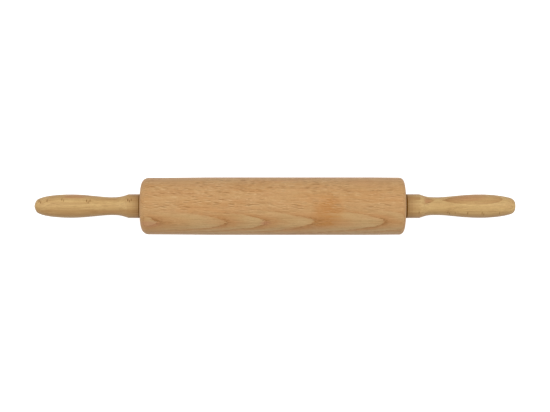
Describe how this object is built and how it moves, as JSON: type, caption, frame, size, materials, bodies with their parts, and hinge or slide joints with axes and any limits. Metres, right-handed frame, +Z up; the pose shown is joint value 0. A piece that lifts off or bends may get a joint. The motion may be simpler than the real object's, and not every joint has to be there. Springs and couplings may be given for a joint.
{
  "type": "rolling pin",
  "caption": "Wooden rolling pin: a thick straight roller turns on ball bearings between slim turned handles fixed to a steel axle.",
  "frame": {"origin": "the middle of the whole pin, on its axis", "axes": "+X along the pin towards the longer handle, which is the right one in the picture; +Z up, away from the worktop; +Y towards the top of the picture"},
  "size_m": [0.4584, 0.055, 0.055],
  "materials": {
    "roller_beech": "plain sanded beech, faint silky sheen",
    "handle_beech": "turned beech, slightly more yellow, thin clear coat",
    "spacer_fibre": "dark brown vulcanised fibre, matt",
    "axle_steel": "bright drawn steel rod",
    "ring_steel": "ground bearing steel",
    "ball_steel": "polished",
    "shield_steel": "thin pressed steel",
    "cage_nylon": "natural nylon",
    "cup_nylon": "dark brown moulded nylon"
  },
  "bodies": {
    "axle_and_handles": {"axle": "axle_steel", "left_handle": "handle_beech", "right_handle": "handle_beech", "left_spacer": "spacer_fibre", "right_spacer": "spacer_fibre"},
    "inner_rings": {"left_inner_ring": "ring_steel", "right_inner_ring": "ring_steel"},
    "roller": {"roller": "roller_beech", "left_bearing_cup": "cup_nylon", "left_outer_ring": "ring_steel", "left_outer_shield": "shield_steel", "left_inner_shield": "shield_steel", "right_bearing_cup": "cup_nylon", "right_outer_ring": "ring_steel", "right_outer_shield": "shield_steel", "right_inner_shield": "shield_steel"},
    "left_ball_cage": {"left_cage": "cage_nylon", "left_balls": "ball_steel"},
    "right_ball_cage": {"right_cage": "cage_nylon", "right_balls": "ball_steel"}
  },
  "joints": [
    {"name": "roller_end_float", "type": "slide", "parent": "axle_and_handles", "child": "inner_rings", "axis": [1, 0, 0], "range_m": [0, 0.0008]},
    {"name": "roller_spin", "type": "hinge", "parent": "inner_rings", "child": "roller", "pos_m": [0, 0, 0], "axis": [1, 0, 0], "continuous": true},
    {"name": "left_cage_spin", "type": "hinge", "parent": "inner_rings", "child": "left_ball_cage", "pos_m": [0, 0, 0], "axis": [1, 0, 0], "continuous": true},
    {"name": "right_cage_spin", "type": "hinge", "parent": "inner_rings", "child": "right_ball_cage", "pos_m": [0, 0, 0], "axis": [1, 0, 0], "continuous": true}
  ],
  "couplings": [
    {"joint": "left_cage_spin", "follows": "roller_spin", "ratio": 0.6323},
    {"joint": "right_cage_spin", "follows": "roller_spin", "ratio": 0.6323}
  ]
}
